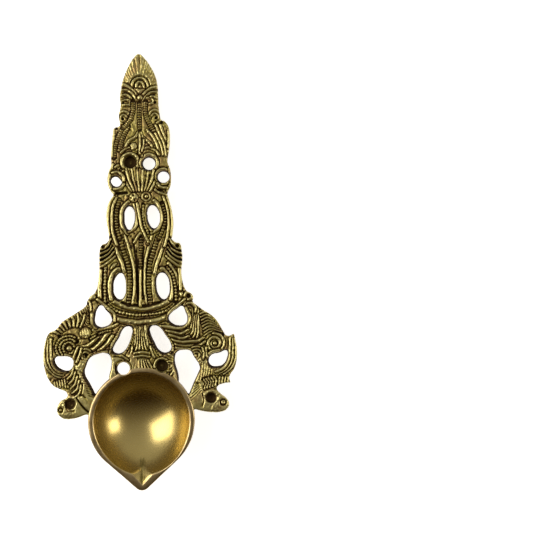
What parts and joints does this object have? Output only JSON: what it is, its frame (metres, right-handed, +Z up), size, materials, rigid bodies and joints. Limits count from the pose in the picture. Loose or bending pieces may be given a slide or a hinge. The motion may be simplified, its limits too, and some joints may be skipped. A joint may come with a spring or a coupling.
{
  "type": "hand-held brass oil lamp",
  "caption": "Hand-held oil lamp: teardrop oil bowl with a wick spout on a flat openwork handle of birds, coil bands and a leaf finial, resting on the bowl's ground foot and the handle's tip.",
  "frame": {"origin": "centre of the ground flat under the bowl, on the surface that the lamp stands on", "axes": "+Y along the handle from the bowl to the finial's tip, +Z up, +X across the lamp to the right"},
  "size_m": [0.1007, 0.2292, 0.0228],
  "materials": {
    "satin_brass": "turned satin brass, aged, with fine ring marks",
    "antique_brass": "sand-cast brass relief, rubbed bright on the high points and dark in the recesses"
  },
  "bodies": {
    "root": {"oil_bowl": "satin_brass", "finial_leaf": "antique_brass", "upper_panel": "antique_brass", "waist_knot": "antique_brass", "left_waist_loop": "antique_brass", "right_waist_loop": "antique_brass", "centre_braid": "antique_brass", "centre_rib": "antique_brass", "left_coil_band": "antique_brass", "right_coil_band": "antique_brass", "left_shoulder_leaf": "antique_brass", "right_shoulder_leaf": "antique_brass", "ring_band": "antique_brass", "lotus_fan": "antique_brass", "left_collar": "antique_brass", "right_collar": "antique_brass", "left_wing": "antique_brass", "right_wing": "antique_brass", "left_tail": "antique_brass", "right_tail": "antique_brass", "left_bird": "antique_brass", "right_bird": "antique_brass", "left_bird_head": "antique_brass", "right_bird_head": "antique_brass"}
  },
  "joints": []
}
